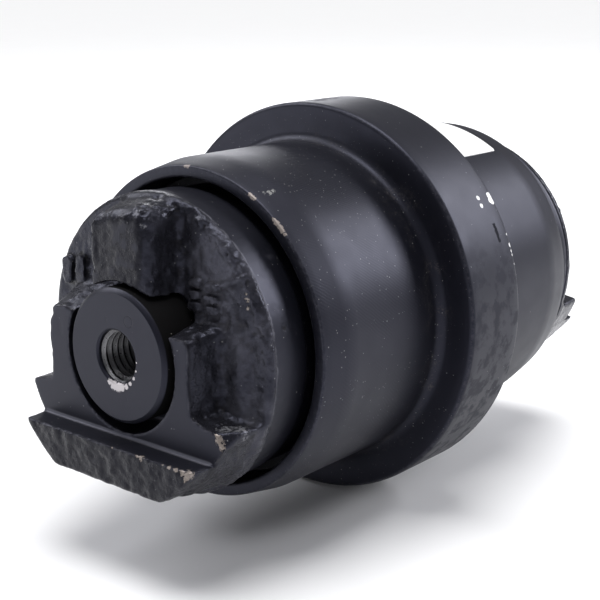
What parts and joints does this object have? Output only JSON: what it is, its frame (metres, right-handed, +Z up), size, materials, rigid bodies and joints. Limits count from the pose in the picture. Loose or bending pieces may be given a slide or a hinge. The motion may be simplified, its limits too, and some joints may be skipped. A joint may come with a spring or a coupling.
{
  "type": "track roller",
  "caption": "Centre-flange track roller turning on a fixed shaft between cast end collars with seats, ledges and threaded bolt holes.",
  "frame": {"origin": "on the roller's axis, in the middle of the roller", "axes": "+Y along the roller's axis towards the far end, +Z up towards the lugs when the roller hangs under its track frame, +X to the right as seen from the near end"},
  "size_m": [0.15, 0.2412, 0.15],
  "materials": {
    "shell_paint": "satin black paint over turned steel",
    "casting_paint": "satin black paint over a sand casting",
    "shaft_paint": "satin black paint over turned steel",
    "bush_bronze": "turned bronze",
    "seal_iron": "lapped white iron",
    "seal_rubber": "smooth nitrile rubber",
    "pin_steel": "ground steel",
    "plug_steel": "zinc-plated steel",
    "label_film": "blank white film"
  },
  "bodies": {
    "axle_group": {"shaft": "shaft_paint", "near_collar": "casting_paint", "far_collar": "casting_paint", "near_fixed_seal_ring": "seal_iron", "far_fixed_seal_ring": "seal_iron", "near_fixed_toric_ring": "seal_rubber", "far_fixed_toric_ring": "seal_rubber", "near_shaft_o_ring": "seal_rubber", "far_shaft_o_ring": "seal_rubber", "near_lock_pin": "pin_steel", "far_lock_pin": "pin_steel", "oil_plug": "plug_steel"},
    "roller": {"roller_shell": "shell_paint", "near_bush": "bush_bronze", "far_bush": "bush_bronze", "near_rotating_seal_ring": "seal_iron", "far_rotating_seal_ring": "seal_iron", "near_rotating_toric_ring": "seal_rubber", "far_rotating_toric_ring": "seal_rubber", "label": "label_film"}
  },
  "joints": [
    {"name": "roller_spin", "type": "hinge", "parent": "axle_group", "child": "roller", "pos_m": [0, 0, 0], "axis": [0, 1, 0], "continuous": true}
  ]
}
